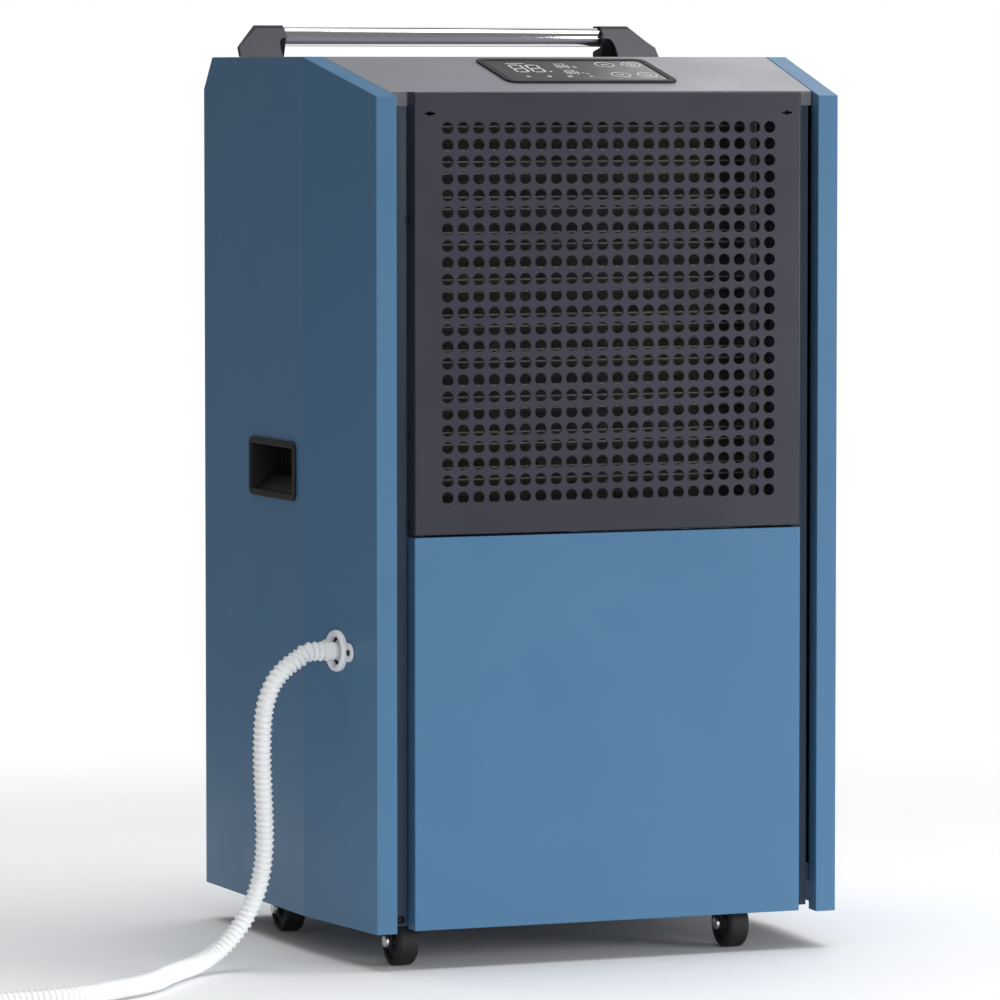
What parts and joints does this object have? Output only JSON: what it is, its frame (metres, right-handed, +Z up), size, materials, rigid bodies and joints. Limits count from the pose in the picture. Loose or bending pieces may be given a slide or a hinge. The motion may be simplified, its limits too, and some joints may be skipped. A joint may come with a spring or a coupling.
{
  "type": "dehumidifier",
  "caption": "Cabinet dehumidifier in folded sheet metal on swivel castors, with a perforated front grille, sloping touch display, rear handle bar, fan, coils, compressor and drain hose.",
  "frame": {"origin": "on the floor, under the middle of the cabinet with its rear handle, the drain hose left out", "axes": "+Z up, front facing -Y, the drain port on the -X side"},
  "size_m": [1.2093, 0.6146, 0.952],
  "materials": {
    "blue_paint": "semi-gloss powder coat",
    "grey_paint": "satin powder coat",
    "cover_paint": "satin powder coat",
    "chassis_paint": "satin paint",
    "zinc": "zinc-plated steel",
    "chrome": "polished",
    "black_plastic": "fine-textured moulding",
    "castor_tread": "hard rubber, satin",
    "compressor_paint": "black enamel",
    "aluminium_fins": "bare fins",
    "white_plastic": "satin moulding",
    "hose_plastic": "soft corrugated plastic",
    "clear_plastic": "cloudy clear plastic",
    "display_glass": "glossy dark window",
    "circuit_board": "solder mask",
    "copper": "bare copper"
  },
  "bodies": {
    "cabinet": {"air_filter": "black_plastic", "base_pan": "chassis_paint", "cable_gland": "black_plastic", "castor_plate_front_left": "zinc", "castor_plate_front_right": "zinc", "castor_plate_rear_left": "zinc", "castor_plate_rear_right": "zinc", "compressor": "compressor_paint", "condensate_downpipe": "clear_plastic", "condensate_pump": "black_plastic", "condensate_tank": "clear_plastic", "condenser": "aluminium_fins", "control_board": "circuit_board", "corner_post_left": "chassis_paint", "corner_post_right": "chassis_paint", "discharge_pipe": "copper", "display_bezel": "black_plastic", "display_glass": "display_glass", "drain_hose": "hose_plastic", "drain_hose_coil": "hose_plastic", "drain_hose_cuff": "white_plastic", "drain_port_flange": "white_plastic", "drain_spout": "white_plastic", "drip_tray": "black_plastic", "electrical_box": "zinc", "evaporator": "aluminium_fins", "fan_motor": "zinc", "fan_motor_bracket": "zinc", "fan_shroud": "zinc", "front_grille": "grey_paint", "handle_bar": "chrome", "handle_bracket_left": "grey_paint", "handle_bracket_right": "grey_paint", "handle_support_left": "black_plastic", "handle_support_right": "black_plastic", "lower_front_panel": "blue_paint", "outlet_grille": "black_plastic", "partition_shelf": "zinc", "pump_outlet_tube": "clear_plastic", "rear_panel": "blue_paint", "side_grip_left": "black_plastic", "side_grip_right": "black_plastic", "side_panel_left": "blue_paint", "side_panel_right": "blue_paint", "suction_pipe": "copper", "top_cover": "cover_paint"},
    "fan": {"fan_impeller": "black_plastic"},
    "float": {"pump_float": "white_plastic"},
    "castor_front_left": {"castor_fork_front_left": "black_plastic", "castor_axle_front_left": "zinc"},
    "wheel_front_left": {"castor_wheel_front_left": "castor_tread"},
    "castor_front_right": {"castor_fork_front_right": "black_plastic", "castor_axle_front_right": "zinc"},
    "wheel_front_right": {"castor_wheel_front_right": "castor_tread"},
    "castor_rear_left": {"castor_fork_rear_left": "black_plastic", "castor_axle_rear_left": "zinc"},
    "wheel_rear_left": {"castor_wheel_rear_left": "castor_tread"},
    "castor_rear_right": {"castor_fork_rear_right": "black_plastic", "castor_axle_rear_right": "zinc"},
    "wheel_rear_right": {"castor_wheel_rear_right": "castor_tread"}
  },
  "joints": [
    {"name": "fan_spin", "type": "hinge", "parent": "cabinet", "child": "fan", "pos_m": [0, -0.049, 0.64], "axis": [0, 1, 0], "continuous": true},
    {"name": "float_rise", "type": "slide", "parent": "cabinet", "child": "float", "axis": [0, 0, 1], "range_m": [0, 0.04]},
    {"name": "swivel_front_left", "type": "hinge", "parent": "cabinet", "child": "castor_front_left", "pos_m": [-0.211, -0.178, 0.0585], "axis": [0, 0, 1], "continuous": true},
    {"name": "roll_front_left", "type": "hinge", "parent": "castor_front_left", "child": "wheel_front_left", "pos_m": [-0.211, -0.194, 0.025], "axis": [1, 0, 0], "continuous": true},
    {"name": "swivel_front_right", "type": "hinge", "parent": "cabinet", "child": "castor_front_right", "pos_m": [0.155, -0.178, 0.0585], "axis": [0, 0, 1], "continuous": true},
    {"name": "roll_front_right", "type": "hinge", "parent": "castor_front_right", "child": "wheel_front_right", "pos_m": [0.155, -0.194, 0.025], "axis": [1, 0, 0], "continuous": true},
    {"name": "swivel_rear_left", "type": "hinge", "parent": "cabinet", "child": "castor_rear_left", "pos_m": [-0.2265, 0.107, 0.0585], "axis": [0, 0, 1], "continuous": true},
    {"name": "roll_rear_left", "type": "hinge", "parent": "castor_rear_left", "child": "wheel_rear_left", "pos_m": [-0.2265, 0.091, 0.025], "axis": [1, 0, 0], "continuous": true},
    {"name": "swivel_rear_right", "type": "hinge", "parent": "cabinet", "child": "castor_rear_right", "pos_m": [0.175, 0.107, 0.0585], "axis": [0, 0, 1], "continuous": true},
    {"name": "roll_rear_right", "type": "hinge", "parent": "castor_rear_right", "child": "wheel_rear_right", "pos_m": [0.175, 0.091, 0.025], "axis": [1, 0, 0], "continuous": true}
  ]
}
